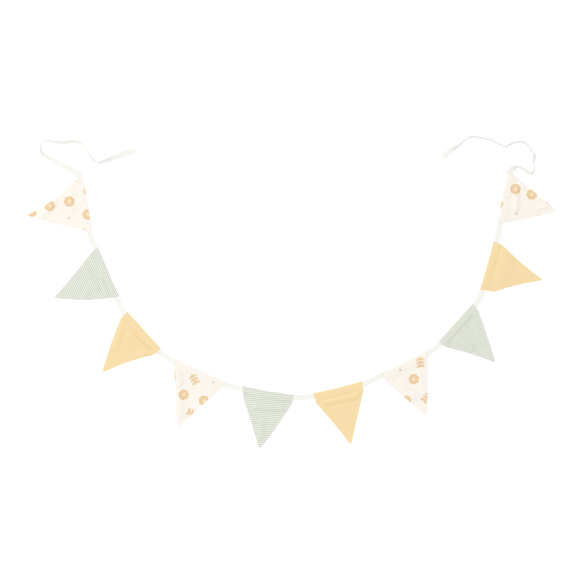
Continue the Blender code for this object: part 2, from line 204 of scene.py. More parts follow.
# The free ties, from the casing to the square-cut end: x, y and roll. At a roll of 0 or 180 the tape lies
# flat, and at 90 it stands on its edge.
LEFT_TIE = (
    (-0.641, 0.355, 8), (-0.674, 0.374, 12), (-0.713, 0.396, 26), (-0.741, 0.411, 52),
    (-0.753, 0.427, 74), (-0.753, 0.443, 88), (-0.744, 0.453, 92), (-0.729, 0.455, 74),
    (-0.692, 0.449, 60), (-0.649, 0.453, 58), (-0.627, 0.443, 56), (-0.614, 0.424, 62),
    (-0.608, 0.415, 110), (-0.600, 0.403, 114), (-0.592, 0.3915, 110), (-0.585, 0.388, 74),
    (-0.574, 0.390, 68), (-0.562, 0.3935, 54), (-0.540, 0.402, 30), (-0.516, 0.4115, 10),
    (-0.495, 0.418, 0), (-0.467, 0.4255, 0),
)
RIGHT_TIE = (
    (0.659, 0.3685, 10), (0.668, 0.3755, 42), (0.676, 0.377, 72), (0.686, 0.3745, 74),
    (0.696, 0.3685, 68), (0.706, 0.360, 66), (0.718, 0.3565, 66), (0.725, 0.364, 68),
    (0.727, 0.380, 68), (0.724, 0.392, 64), (0.728, 0.409, 50), (0.724, 0.418, 62),
    (0.719, 0.4255, 112), (0.707, 0.441, 112), (0.696, 0.4495, 112), (0.687, 0.4525, 110),
    (0.665, 0.449, 110), (0.643, 0.4375, 114), (0.637, 0.4375, 112), (0.621, 0.445, 110),
    (0.597, 0.457, 110), (0.572, 0.463, 110), (0.546, 0.4665, 110), (0.531, 0.4645, 108),
    (0.513, 0.4525, 108), (0.502, 0.4435, 112), (0.492, 0.4365, 124), (0.481, 0.4285, 154),
    (0.472, 0.4215, 180), (0.453, 0.4065, 180),
)
MOUTH = 0.002
STEP_DOWN = 0.014
TAPE_STEP = 0.003
SPAN_PULL = 0.5
CASING_STEPS = 48
BLEND_STEPS = 24
TAPE_WAVE_SIZE = 0.030
TAPE_WAVE_HEIGHT = 0.0012
TAPE_WAVE_BIAS = 0.2
TAPE_WAVE_SEED = 4.0

# One face of the tape's section, by place across it and height over its middle, both in shares.
TAPE_SECTION = (
    (-1.00, 0.0), (-0.975, 0.75), (-0.90, 1.0), (-0.80, 0.80), (-0.40, 0.90),
    (0.0, 0.85), (0.40, 0.90), (0.80, 0.80), (0.90, 1.0), (0.975, 0.75),
)

# How bright a white surface shows under the lights, so that a cloth's colour can be given as it looks.
LIGHT_LEVEL = 1.17

# The colours as they show, from 0 to 255.
YELLOW = (250, 224, 173)
STRIPE_WHITE = (243, 245, 235)
STRIPE_SAGE = (207, 212, 199)
CREAM = (254, 248, 239)
OCHRE = (244, 213, 172)
DEEP_OCHRE = (234, 194, 138)
PALE_YELLOW = (250, 236, 210)
GRASS_SAGE = (178, 178, 150)
TAPE_WHITE = (251, 249, 244)
CREAM_THREAD = (250, 243, 232)
SAGE_THREAD = (225, 228, 216)
YELLOW_THREAD = (248, 220, 168)

# The flags' weave: its sizes, shade painted from its low places to its high ones, and its relief.
THREAD_PITCH = 0.0007
SLUB_WIDTH = 0.0011
SLUB_LENGTH = 0.018
PATCH_SIZE = 0.045
WEAVE_PAINTED_SHADE = (0.98, 1.02)
CLOTH_ROUGHNESS = (0.94, 0.86)
SLUB_SHADE = 0.06
PATCH_SHADE = 0.03
WEAVE_DEPTH = 0.00025
SLUB_RELIEF = 0.25
CLOTH_GLOSS = 0.2
CLOTH_SHEEN = 0.08
SHEEN_ROUGHNESS = 0.5
BUMP_STRENGTH = 0.35
NOISE_DETAIL = 2.0

# The sewing thread: how fine its twist is, the shade painted along its twist, and its relief.
TWIST_SCALE = 900.0
THREAD_PAINTED_SHADE = (0.94, 1.02)
THREAD_ROUGHNESS = (0.8, 0.7)
THREAD_DEPTH = 0.0001

# The stripes: their period, how far and how slowly they drift in periods, and how soft their edges are.
STRIPE_PERIOD = 0.0057
STRIPE_DRIFT = 0.35
STRIPE_DRIFT_SIZE = (0.050, 0.030)
STRIPE_EDGE = 0.45

# The tape: its twill's pitch, bands, relief and painted shade, its slubs and patches, and the light let
# through.
TWILL_PITCH = 0.0013
TWILL_BAND = 0.00425
TWILL_DEPTH = 0.0003
TWILL_PAINTED_SHADE = (0.96, 1.01)
TAPE_ROUGHNESS = (0.92, 0.84)
TAPE_SLUB_SIZE = (0.020, 0.0008)
TAPE_SLUB_SHADE = 0.03
TAPE_SLUB_RELIEF = 0.3
TAPE_PATCH_SIZE = (0.060, 0.020)
TAPE_SHEEN = 0.5
TAPE_THROUGH = 0.25
TAPE_THROUGH_REACH = 0.0015

# The print: each cell of a half-drop repeat has, by its chance from 0 to 1, a flower, a sprig, three tiny
# strokes or one long one. The sizes here and in the motifs' functions are in millimetres.
REPEAT = 58.0
JITTER = 16.0
BLOOMS_TO = 0.42
GRASS_FROM = 0.72
BLADES_FROM = 0.86

PETALS = 7
BLOOM_INNER = 13.2
BLOOM_OUTER = 15.6
MIDDLE_RADIUS = 4.0
LEAF_PITCH = 10.0
LEAF_PLACE = (6.2, 1.6)
LEAF_HALF = (6.4, 3.6)
LEAF_LEAN = 32
STEM_HALF = 17.0
BLADE_BEND = 26.0
BLADE_HALF = 14.0

# How unevenly the print has taken, its patches' size in metres, and its strength on the reverse.
FADE = 0.25
FADE_SIZE = 0.004
REVERSE_PRINT = 0.3

CAMERA_HEIGHT = 8.0
FRAME_WIDTH = 1.755
FRAME_MIDDLE = (0.0015, 0.0)
SENSOR = 36.0
STUDIO_STRENGTH = 0.90
SUN_PLACE = (-2.2, 3.6, 5.0)
SUN_ENERGY = 0.65
SUN_SPREAD = 40
SOFTBOX_PLACE = (-4.0, 0.0, 5.0)
SOFTBOX_SIZE = 2.5
SOFTBOX_ENERGY = 56.0
FLOOR_HALF = 6.0
FLOOR_GAP = 0.0003
FLOOR_WHITE = (0.98, 0.98, 0.98, 1.0)
FLOOR_ROUGHNESS = 0.9
FLOOR_GLOSS = 0.1


def ease(share):
    """A smooth step from 0 to 1."""
    share = np.clip(share, 0.0, 1.0)
    return share * share * (3 - 2 * share)


def noise_field(across, along, size, seed):
    """Smooth noise from -1 to 1 at each place of two equal arrays."""
    places = zip((across / size).ravel(), (along / size).ravel())
    values = [noise.noise(Vector((a, b, seed))) for a, b in places]
    return np.array(values).reshape(across.shape)


def add_object(name, data):
    """A new object in the scene."""
    thing = bpy.data.objects.new(name, data)
    bpy.context.scene.collection.objects.link(thing)
    return thing


def new_object(name, shell, materials, flag=None):
    """A smooth closed mesh that faces outwards, riding on the bunting's one body, in its flag's place."""
    points = placed(shell.points, flag) if flag else shell.points
    data = bpy.data.meshes.new(name)
    data.from_pydata(points, [], shell.faces)
    for material in materials:
        data.materials.append(material)
    if len(materials) > 1:
        data.polygons.foreach_set("material_index", shell.kinds)
    mesh = bmesh.new()
    mesh.from_mesh(data)
    bmesh.ops.recalc_face_normals(mesh, faces=mesh.faces)
    mesh.to_mesh(data)
    mesh.free()
    data.polygons.foreach_set("use_smooth", [True] * len(data.polygons))
    data.set_sharp_from_angle(angle=math.radians(SHARP_ANGLE))
    thing = add_object(name, data)
    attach(thing, "root")
    return thing


def add_pattern_map(thing, shell):
    """A UV map of each vertex's place on the uncut cloth, in metres."""
    layer = thing.data.uv_layers.new(name="cloth")
    vertex_of_corner = np.empty(len(thing.data.loops), dtype=np.int32)
    thing.data.loops.foreach_get("vertex_index", vertex_of_corner)
    places = np.array(shell.places)[vertex_of_corner]
    layer.uv.foreach_set("vector", places.astype(np.float32).ravel())


def grid_quads(numbers):
    """The quads over a grid of vertex numbers."""
    corners = (numbers[:-1, :-1], numbers[1:, :-1], numbers[1:, 1:], numbers[:-1, 1:])
    return np.stack(corners, axis=-1).reshape(-1, 4).tolist()


def side_x(drop, top, corner, corner_drop, tip, tip_drop, bow):
    """A side edge's x at a drop: along the casing's end, then along the long side, bulged by bow."""
    if drop <= corner_drop:
        return top + (corner - top) * drop / corner_drop
    share = (drop - corner_drop) / (tip_drop - corner_drop)
    return corner + (tip - corner) * share + 4 * bow * share * (1 - share)


def row_ends(flag, drop):
    """The x of a flag's left and right edges at a drop."""
    half = flag.width / 2
    tip_drop = flag.tip_drop
    left_corner = flag.left_in - half
    right_corner = half - flag.right_in
    left_tip = flag.tip_x - TIP_WIDTH / 2
    right_tip = flag.tip_x + TIP_WIDTH / 2
    left = side_x(drop, -half, left_corner, flag.left_drop, left_tip, tip_drop, -flag.left_bow)
    right = side_x(drop, half, right_corner, flag.right_drop, right_tip, tip_drop, flag.right_bow)
    return left, right


def sag_at(flag, x):
    """How far a flag's top fold sags at an x."""
    across = 2 * x / flag.width
    return flag.sag * np.maximum(1 - across * across, 0.0)


def row_drops(flag):
    """The drops of the rows of a flag's mesh."""
    drops = list(FOLD_ROWS)
    while drops[-1] + CASING_STEP < CASING_ROWS_END:
        drops.append(drops[-1] + CASING_STEP)
    while drops[-1] + STITCH_STEP < TUNNEL_END:
        drops.append(drops[-1] + STITCH_STEP)
    drops += [*BEFORE_STITCHES, STITCH_LINE, *PAST_STITCHES]
    while drops[-1] < FINE_ROWS_END:
        drops.append(drops[-1] + 2 * STITCH_STEP)
    start = drops[-1]
    length = flag.tip_drop - TIP_ROUND - start
    steps = round(length / BODY_STEP)
    drops += [start + length * step / steps for step in range(1, steps + 1)]
    drops += [flag.tip_drop - TIP_ROUND * share for share in TIP_ROWS]
    return np.array(drops)


def distance_to(fold, x, drop):
    """How far each place is from a fold's crest."""
    run = np.array((fold.x2 - fold.x1, fold.drop2 - fold.drop1))
    share = ((x - fold.x1) * run[0] + (drop - fold.drop1) * run[1]) / (run @ run)
    share = np.clip(share, 0.0, 1.0)
    return np.hypot(x - fold.x1 - run[0] * share, drop - fold.drop1 - run[1] * share)


def fold_heights(number, table, x, drop):
    """The height that a flag's folds or creases add at each place."""
    height = np.zeros_like(x)
    for fold in table:
        if fold.flag == number:
            near = np.minimum(distance_to(fold, x, drop) / fold.reach, 1.0)
            height += fold.height * (1 + np.cos(math.pi * near)) / 2
    return height


def flag_outline(number, flag, drops):
    """The left and right x of each row, with soft corners, a round tip and slightly wavering edges."""
    shifts = np.linspace(-CORNER_SOFTNESS, CORNER_SOFTNESS, CORNER_SAMPLES)
    ends = []
    for drop in drops:
        nearby = np.clip(drop + shifts, 0.0, flag.tip_drop)
        ends.append([row_ends(flag, place) for place in nearby])
    left, right = np.array(ends).mean(axis=1).T
    wobble = [
        noise_field(drops, np.full_like(drops, place), WOBBLE_SIZE, number) for place in WOBBLE_PLACES
    ]
    left = left + EDGE_WOBBLE * wobble[0]
    right = right + EDGE_WOBBLE * wobble[1]
    near_tip = np.clip((drops - flag.tip_drop + TIP_ROUND) / TIP_ROUND, 0.0, TIP_LAST)
    narrowing = np.sqrt(1 - near_tip * near_tip)
    middle = (left + right) / 2
    return middle + (left - middle) * narrowing, middle + (right - middle) * narrowing


def flag_grid(number, flag):
    """The x and drop of each vertex of a flag's mesh, by row and column, and its inset from a long side."""
    drops = row_drops(flag)
    left, right = flag_outline(number, flag, drops)
    insets = np.array(EDGE_INSETS)
    rows_x, rows_inset = [], []
    for start, end in zip(left, right):
        width = end - start
        near = insets * min(1.0, HEM_SHARE * width / HEM_WIDTH)
        middle = np.linspace(near[-1], width - near[-1], MIDDLE_COLUMNS + 1)[1:-1]
        across = np.concatenate((near, middle, width - near[::-1]))
        rows_x.append(start + across)
        rows_inset.append(np.minimum(across, width - across))
    x = np.array(rows_x)
    return x, np.repeat(drops[:, None], x.shape[1], axis=1), np.array(rows_inset)


def upper_heights(number, flag, x, drop, inset):
    """The height of a flag's face at each place, before its folds."""
    corners = np.array(UPPER_FACE)
    height = np.interp(drop, corners[:, 0], corners[:, 1])
    below_casing = ease((drop - HEM_END) / FOLD_FADE)
    height -= FACE_STEP * below_casing * ease((inset - FACE_SLOPE_START) / FACE_SLOPE)
    height += fold_heights(number, CREASES, x, drop)
    calm = CASING_CALM + (1 - CASING_CALM) * below_casing
    height += WRINKLE_HEIGHT * calm * noise_field(x, drop, WRINKLE_SIZE, number * WRINKLE_SEED)
    away = abs(drop - STITCH_LINE)
    puckered = np.exp(-((away / PUCKER_REACH) ** 2)) * ease(away / PUCKER_START)
    pucker = noise_field(x, drop * PUCKER_STRETCH, PUCKER_SIZE, number * PUCKER_SEED)
    return height + PUCKER_HEIGHT * puckered * pucker


def lower_heights(drop, inset):
    """The height of a flag's underside before its folds: 0 on its hems and its casing's back layer."""
    past_casing = np.clip((drop - HEM_END) / HEM_EDGE, 0.0, 1.0)
    past_hem = np.clip((inset - HEM_INNER) / HEM_EDGE, 0.0, 1.0)
    groove = BOBBIN_GROOVE * np.exp(-(((drop - STITCH_LINE) / BOBBIN_WIDTH) ** 2))
    return SINGLE_BASE * past_casing * past_hem + groove


def boundary(rows, columns):
    """The grid places round the edge of a mesh of so many rows and columns, in order."""
    last_row, last_column = rows - 1, columns - 1
    loop = [(0, column) for column in range(last_column)]
    loop += [(row, last_column) for row in range(last_row)]
    loop += [(last_row, column) for column in range(last_column, 0, -1)]
    loop += [(row, 0) for row in range(last_row, 0, -1)]
    return loop


class Shell:
    """A mesh while it is put together: its vertices, their places on the uncut cloth, and its faces.

    Each face is of one kind: 0 is the cloth's right side, and 1 its reverse.
    """

    def __init__(self):
        self.points = []
        self.places = []
        self.faces = []
        self.kinds = []

    def add_points(self, points, places):
        first = len(self.points)
        self.points += points.tolist()
        self.places += places.tolist()
        return np.arange(first, len(self.points))

    def add_faces(self, faces, kinds=0):
        self.faces += faces
        self.kinds += kinds if isinstance(kinds, list) else [kinds] * len(faces)


def cut_places(cut, x, drop):
    """The places on the uncut cloth that lie under places on a flag."""
    turn = math.radians(cut.turn)
    u = cut.u + x * math.cos(turn) - drop * math.sin(turn)
    v = cut.v + x * math.sin(turn) + drop * math.cos(turn)
    return np.stack((u, v), axis=-1)


def flag_surfaces(number, flag):
    """A flag's grid, with the height of its face, underside, and its tunnel's ceiling and floor."""
    x, drop, inset = flag_grid(number, flag)
    folds = fold_heights(number, FOLDS, x, drop)
    lower = lower_heights(drop, inset)
    upper = np.maximum(upper_heights(number, flag, x, drop, inset), lower + THINNEST)
    ceiling = np.minimum(np.maximum(upper - LAYER_THICK, CEILING), upper - THINNEST)
    floor = np.full_like(upper, LAYER_THICK)
    upper = upper + folds * ease((drop - STITCH_LINE) / FACE_FADE)
    lower = lower + folds * ease((drop - HEM_END) / FOLD_FADE)
    return x, drop, inset, upper, lower, ceiling, floor


def flag_shell(number, flag, cut):
    """One flag's closed cloth: face, underside, rounded edges, and the tunnel in its casing."""
    x, drop, inset, upper, lower, ceiling, floor = flag_surfaces(number, flag)
    y = -drop - sag_at(flag, x) * (1 - drop / flag.tip_drop)
    places = cut_places(cut, x, drop)
    drops = drop[:, 0]
    first = int(np.argmin(abs(drops - TUNNEL_START)))
    last = int(np.argmin(abs(drops - TUNNEL_END)))
    whole = slice(None)
    tunnel = slice(first, last + 1)
    shell = Shell()
    numbers = {}
    for name, height, rows in (
        ("upper", upper, whole),
        ("lower", lower, whole),
        ("ceiling", ceiling, tunnel),
        ("floor", floor, tunnel),
    ):
        points = np.stack((x, y, height), axis=-1)[rows].reshape(-1, 3)
        added = shell.add_points(points, places[rows].reshape(-1, 2))
        numbers[name] = added.reshape(x[rows].shape)

    nearest_side = np.minimum(inset[:-1, :-1], inset[1:, 1:])
    turned_under = (drop[:-1, :-1] < HEM_END) | (nearest_side < TURNED_UNDER)
    shell.add_faces(grid_quads(numbers["upper"]))
    shell.add_faces(grid_quads(numbers["lower"]), (~turned_under).astype(int).ravel().tolist())
    shell.add_faces(grid_quads(numbers["ceiling"]), 1)
    shell.add_faces(grid_quads(numbers["floor"]), 1)
    for row in (0, -1):
        pair = np.stack((numbers["ceiling"][row], numbers["floor"][row]))
        shell.add_faces(grid_quads(pair), 1)
    add_rim(shell, numbers, x, y, upper, lower, first, last)
    return shell


def rim_outward(plan):
    """The outward direction in plan at each place round a flag's edge."""
    along = np.roll(plan, -1, axis=0) - np.roll(plan, 1, axis=0)
    along /= np.linalg.norm(along, axis=1)[:, None]
    outward = np.stack((-along[:, 1], along[:, 0]), axis=-1)
    if ((plan - plan.mean(axis=0)) * outward).sum() < 0:
        return -outward
    return outward


def add_rim(shell, numbers, x, y, upper, lower, first, last):
    """The rounded edge of a flag, open where the tape runs through the casing's ends."""
    loop = boundary(*x.shape)
    rows, columns = np.array(loop).T
    plan = np.stack((x[rows, columns], y[rows, columns]), axis=-1)
    outward = rim_outward(plan)
    top, base = upper[rows, columns], lower[rows, columns]
    places = np.array(shell.places)[numbers["upper"][rows, columns]]
    rings = [numbers["upper"][rows, columns]]
    for turn in RIM_TURNS:
        spot = plan + outward * EDGE_ROUND * math.sin(math.radians(turn))
        height = (top + base) / 2 + (top - base) / 2 * math.cos(math.radians(turn))
        rings.append(shell.add_points(np.column_stack((spot, height)), places))
    rings.append(numbers["lower"][rows, columns])
    chains = np.array(rings).T

    sides = (0, x.shape[1] - 1)
    is_open = [column in sides and first <= row <= last for row, column in loop]
    for here in range(len(loop)):
        there = (here + 1) % len(loop)
        if is_open[here] and is_open[there]:
            column = loop[here][1]
            a, b = loop[here][0] - first, loop[there][0] - first
            ceiling, floor = numbers["ceiling"][:, column], numbers["floor"][:, column]
            shell.add_faces([
                [chains[here][0], chains[there][0], ceiling[b], ceiling[a]],
                [floor[a], floor[b], chains[there][-1], chains[here][-1]],
            ])
        elif is_open[here] or is_open[there]:
            outer, inner = (there, here) if is_open[here] else (here, there)
            row, column = loop[inner]
            ceiling = numbers["ceiling"][row - first, column]
            floor = numbers["floor"][row - first, column]
            mouth = [chains[inner][0], ceiling, floor, chains[inner][-1]]
            shell.add_faces([[chains[outer][0], *mouth, *chains[outer][:0:-1]]])
        else:
            shell.add_faces(grid_quads(chains[[here, there]]))


def placed(points, flag):
    """Points of a flag's own frame, in the row frame."""
    turn = math.radians(flag.turn)
    spin = np.array(((math.cos(turn), math.sin(turn)), (-math.sin(turn), math.cos(turn))))
    points = np.array(points)
    points[:, :2] = points[:, :2] @ spin + (flag.x, flag.y)
    return points


def stitch_template():
    """One stitch, 1 long and 1 in radius: a rounded bar of thread along x."""
    sides = THREAD_SIDES
    rings = ((-0.5, 0.0), (-0.44, 0.7), (-0.25, 1.0), (0.25, 1.0), (0.44, 0.7), (0.5, 0.0))
    points = [(rings[0][0], 0.0, 0.0)]
    for along, radius in rings[1:-1]:
        for side in range(sides):
            turn = math.tau * side / sides
            points.append((along, radius * math.cos(turn), radius * math.sin(turn)))
    points.append((rings[-1][0], 0.0, 0.0))
    faces = []
    last = len(points) - 1
    for side in range(sides):
        beside = (side + 1) % sides
        faces.append([0, 1 + side, 1 + beside])
        for ring in range(len(rings) - 3):
            start = 1 + ring * sides
            faces.append([start + side, start + sides + side, start + sides + beside, start + beside])
        start = last - sides
        faces.append([start + side, last, start + beside])
    return np.array(points), faces


def stitch_shell(number, flag):
    """The row of stitches that closes a flag's casing, on its face and on its underside."""
    x, drop, _, upper = flag_surfaces(number, flag)[:4]
    row = int(np.argmin(abs(drop[:, 0] - STITCH_LINE)))
    line_x, line_top = x[row], upper[row]
    start, end = line_x[0] + STITCH_MARGIN, line_x[-1] - STITCH_MARGIN
    count = int((end - start) / STITCH_PITCH)
    template, faces = stitch_template()
    size = np.array((STITCH_LENGTH, THREAD_RADIUS, THREAD_RADIUS))
    no_places = np.zeros((len(template), 2))
    shell = Shell()
    for on_face in (True, False):
        for stitch in range(count):
            middle = start + STITCH_PITCH * (stitch + (0.5 if on_face else 1.0))
            face_height = np.interp(middle, line_x, line_top) + THREAD_RADIUS / 2
            height = face_height if on_face else THREAD_RADIUS
            y = -STITCH_LINE - sag_at(flag, middle) * (1 - STITCH_LINE / flag.tip_drop)
            numbers = shell.add_points(template * size + (middle, y, height), no_places)
            shell.add_faces([[numbers[corner] for corner in face] for face in faces])
    return shell


def direction(angle):
    """The unit vector at an angle in plan."""
    return Vector((math.cos(math.radians(angle)), math.sin(math.radians(angle))))


def mouth_headings(flag):
    """The tape's headings where it enters and leaves a flag's casing."""
    slope = math.degrees(math.atan(4 * flag.sag / flag.width))
    return direction(flag.turn - slope), direction(flag.turn + slope)


def casing_line(flag):
    """The tape's middle line through a flag's casing, in plan, from just outside one mouth to the other."""
    along = direction(flag.turn)
    outward = Vector((along.y, -along.x))
    line = []
    for step in range(CASING_STEPS + 1):
        x = flag.width * (step / CASING_STEPS - 0.5)
        line.append(Vector((flag.x, flag.y)) + along * x + outward * (TAPE_DROP + float(sag_at(flag, x))))
    into, out = mouth_headings(flag)
    return [line[0] - into * MOUTH, *line, line[-1] + out * MOUTH]


def curve_between(start, start_pull, end, end_pull, share):
    """A point on the smooth curve that leaves start and reaches end along two pulls."""
    square = share * share
    cube = square * share
    return (
        start * (2 * cube - 3 * square + 1)
        + start_pull * (cube - 2 * square + share)
        + end * (3 * square - 2 * cube)
        + end_pull * (cube - square)
    )


def even_stations(dense):
    """Even steps along a dense line of (point, roll), with the distance travelled, both ends included."""
    travelled = [0.0]
    for before, after in zip(dense, dense[1:]):
        travelled.append(travelled[-1] + (after[0] - before[0]).length)
    count = round(travelled[-1] / TAPE_STEP)
    stations = []
    segment = 0
    for index in range(count + 1):
        wanted = travelled[-1] * index / count
        while segment < len(dense) - 2 and travelled[segment + 1] < wanted:
            segment += 1
        share = (wanted - travelled[segment]) / (travelled[segment + 1] - travelled[segment])
        point = dense[segment][0].lerp(dense[segment + 1][0], share)
        roll = dense[segment][1] + (dense[segment + 1][1] - dense[segment][1]) * share
        stations.append((point, roll, wanted))
    return stations


def tie_stations(mouth, heading, tie):
    """A free tie's stations (point, roll, distance from its casing), from the casing out."""
    points = [mouth, mouth + heading * MOUTH] + [Vector((x, y)) for x, y, roll in tie]
    rolls = [0.0, 0.0] + [roll for x, y, roll in tie]
    dense = []
    for index in range(len(points) - 1):
        before = points[max(index - 1, 0)]
        start, end = points[index], points[index + 1]
        after = points[min(index + 2, len(points) - 1)]
        for step in range(BLEND_STEPS):
            share = step / BLEND_STEPS
            roll = rolls[index] + (rolls[index + 1] - rolls[index]) * float(ease(share))
            point = curve_between(start, (end - before) / 2, end, (after - start) / 2, share)
            dense.append((point, roll))
    dense.append((points[-1], rolls[-1]))
    return even_stations(dense)


def span_stations(start, start_heading, end, end_heading):
    """The stations of the flat tape between two casings: a curve that leaves and enters them straight."""
    pull = (end - start).length * SPAN_PULL
    dense = []
    for step in range(BLEND_STEPS + 1):
        share = step / BLEND_STEPS
        dense.append((curve_between(start, start_heading * pull, end, end_heading * pull, share), 0.0))
    return even_stations(dense)


def tape_route():
    """The whole tape, from the left tie's end: plan point, roll, its lowest edge's height, looseness."""
    route = []
    lines = [casing_line(flag) for flag in FLAGS]
    headings = [mouth_headings(flag) for flag in FLAGS]

    def loose(point, roll, travelled):
        away = float(ease(travelled / STEP_DOWN))
        route.append((point, roll, TAPE_BASE * (1 - away), away))

    for point, roll, travelled in reversed(tie_stations(lines[0][0], -headings[0][0], LEFT_TIE)):
        loose(point, -roll, travelled)
    for index, line in enumerate(lines):
        route += [(point, 0.0, TAPE_BASE, 0.0) for point in line[1:]]
        if index + 1 < len(lines):
            following = index + 1
            span = span_stations(line[-1], headings[index][1], lines[following][0], headings[following][0])
            length = span[-1][2]
            for point, roll, travelled in span[1:]:
                loose(point, roll, min(travelled, length - travelled))
    for point, roll, travelled in tie_stations(lines[-1][-1], headings[-1][1], RIGHT_TIE)[1:]:
        loose(point, roll, travelled)
    return route


def tape_shell():
    """The tape, swept along its route and turned by its roll, and the length of the route."""
    section = list(TAPE_SECTION) + [(-across, -height) for across, height in TAPE_SECTION]
    shell = Shell()
    rings = []
    travelled = 0.0
    route = tape_route()
    for index, (point, roll, base, looseness) in enumerate(route):
        before = route[max(index - 1, 0)][0]
        after = route[min(index + 1, len(route) - 1)][0]
        travelled += (point - before).length
        along = (after - before).normalized()
        wave = noise.noise(Vector((travelled / TAPE_WAVE_SIZE, 0.0, TAPE_WAVE_SEED)))
        rise = TAPE_WAVE_HEIGHT * looseness * max(wave + TAPE_WAVE_BIAS, 0.0)
        turned = Matrix.Rotation(math.radians(roll), 3, Vector((along.x, along.y, 0.0)))
        across = turned @ Vector((-along.y, along.x, 0.0)) * (TAPE_WIDTH / 2)
        through = turned @ Vector((0.0, 0.0, TAPE_THICK / 2))
        middle = Vector((point.x, point.y, base + rise + abs(across.z) + abs(through.z)))
        points = [middle + across * share + through * height for share, height in section]
        places = [(travelled, share * TAPE_WIDTH / 2) for share, height in section]
        rings.append(shell.add_points(np.array(points), np.array(places)))
    closed = np.array(rings)
    shell.add_faces(grid_quads(np.column_stack((closed, closed[:, 0]))))
    shell.add_faces([rings[0].tolist(), rings[-1].tolist()])
    return shell, travelled


def shown_colour(red, green, blue):
    """The linear colour of a surface that shows as this 0 to 255 colour under the scene's light."""
    shares = np.array((red, green, blue)) / 255
    linear = np.where(shares <= 0.04045, shares / 12.92, ((shares + 0.055) / 1.055) ** 2.4)
    return (*(linear / LIGHT_LEVEL), 1.0)


class Value:
    """What a material's node gives out, ready for arithmetic with numbers and other values."""

    def __init__(self, graph, socket):
        self.graph = graph
        self.socket = socket

    def __add__(self, other):
        return self.graph.math("ADD", self, other)

    def __sub__(self, other):
        return self.graph.math("SUBTRACT", self, other)

    def __rsub__(self, other):
        return self.graph.math("SUBTRACT", other, self)

    def __mul__(self, other):
        return self.graph.math("MULTIPLY", self, other)

    def __truediv__(self, other):
        return self.graph.math("DIVIDE", self, other)

    def __abs__(self):
        return self.graph.math("ABSOLUTE", self)

    def __lt__(self, other):
        return self.graph.math("LESS_THAN", self, other)

    def __gt__(self, other):
        return self.graph.math("GREATER_THAN", self, other)


class Graph:
    """A material's nodes. What is fed to a node is a number, a colour or another node's value."""

    def __init__(self, name):
        self.material = bpy.data.materials.new(name)
        self.material.use_nodes = True
        self.tree = self.material.node_tree
        self.shader = self.tree.nodes["Principled BSDF"]

    def add(self, kind, **settings):
        node = self.tree.nodes.new(kind)
        for name, setting in settings.items():
            setattr(node, name, setting)
        return node

    def feed(self, value, socket):
        if isinstance(value, Value):
            self.tree.links.new(value.socket, socket)
        else:
            socket.default_value = value

    def shade(self, values):
        """Feeds the shader's inputs, by name."""
        for name, value in values.items():
            self.feed(value, self.shader.inputs[name])

    def math(self, operation, *values):
        node = self.add("ShaderNodeMath", operation=operation)
        for value, socket in zip(values, node.inputs):
            self.feed(value, socket)
        return Value(self, node.outputs[0])

    def pattern_place(self):
        """The place on the uncut cloth, in metres."""
        node = self.add("ShaderNodeUVMap", uv_map="cloth")
        return Value(self, node.outputs["UV"])

    def split(self, place):
        node = self.add("ShaderNodeSeparateXYZ")
        self.feed(place, node.inputs[0])
        return Value(self, node.outputs["X"]), Value(self, node.outputs["Y"])

    def join(self, x, y):
        node = self.add("ShaderNodeCombineXYZ")
        self.feed(x, node.inputs["X"])
        self.feed(y, node.inputs["Y"])
        return Value(self, node.outputs[0])

    def noise(self, place, x_size, y_size):
        """Soft noise from 0 to 1, in patches of about this size."""
        x, y = self.split(place)
        node = self.add("ShaderNodeTexNoise", noise_dimensions="2D")
        self.feed(self.join(x / x_size, y / y_size), node.inputs["Vector"])
        node.inputs["Scale"].default_value = 1.0
        node.inputs["Detail"].default_value = NOISE_DETAIL
        return Value(self, node.outputs[0])

    def chances(self, place):
        """Four chances from 0 to 1 that are the same all over a whole-numbered place."""
        node = self.add("ShaderNodeTexWhiteNoise", noise_dimensions="2D")
        self.feed(place, node.inputs["Vector"])
        colour = self.add("ShaderNodeSeparateColor")
        self.tree.links.new(node.outputs["Color"], colour.inputs[0])
        sockets = (node.outputs["Value"], *[colour.outputs[name] for name in ("Red", "Green", "Blue")])
        return [Value(self, socket) for socket in sockets]

    def between(self, value, start, end):
        """0 up to start, 1 from end, and smooth between. With end below start it falls instead."""
        node = self.add("ShaderNodeMapRange", interpolation_type="SMOOTHSTEP")
        limits = (start, end, 0.0, 1.0) if start < end else (end, start, 1.0, 0.0)
        for item, socket in zip((value, *limits), node.inputs):
            self.feed(item, socket)
        return Value(self, node.outputs[0])

    def ramp(self, share, start, end):
        """From start where the share is 0, evenly to end where it is 1."""
        return share * (end - start) + start

    def wave(self, value):
        """A sine wave from 0 to 1 with a period of 1."""
        return self.math("SINE", value * math.tau) * 0.5 + 0.5

    def length(self, x, y):
        return self.math("SQRT", x * x + y * y)

    def blend(self, share, below, above):
        """One colour over another."""
        node = self.add("ShaderNodeMix", data_type="RGBA")
        self.feed(share, node.inputs[0])
        self.feed(below, node.inputs[6])
        self.feed(above, node.inputs[7])
        return Value(self, node.outputs[2])

    def dimmed(self, colour, brightness):
        node = self.add("ShaderNodeVectorMath", operation="SCALE")
        self.feed(colour[:3] if isinstance(colour, tuple) else colour, node.inputs[0])
        self.feed(brightness, node.inputs["Scale"])
        return Value(self, node.outputs[0])

    def finish(self, colour, roughness, height, depth, sheen=CLOTH_SHEEN):
        """Feeds the shader, with a relief of this depth where the height goes from 0 to 1."""
        bump = self.add("ShaderNodeBump")
        bump.inputs["Strength"].default_value = BUMP_STRENGTH
        bump.inputs["Distance"].default_value = depth
        self.feed(height, bump.inputs["Height"])
        self.tree.links.new(bump.outputs[0], self.shader.inputs["Normal"])
        self.shade({
            "Base Color": colour,
            "Roughness": roughness,
            "Specular IOR Level": CLOTH_GLOSS,
            "Sheen Weight": sheen,
            "Sheen Roughness": SHEEN_ROUGHNESS,
        })
        return self.material


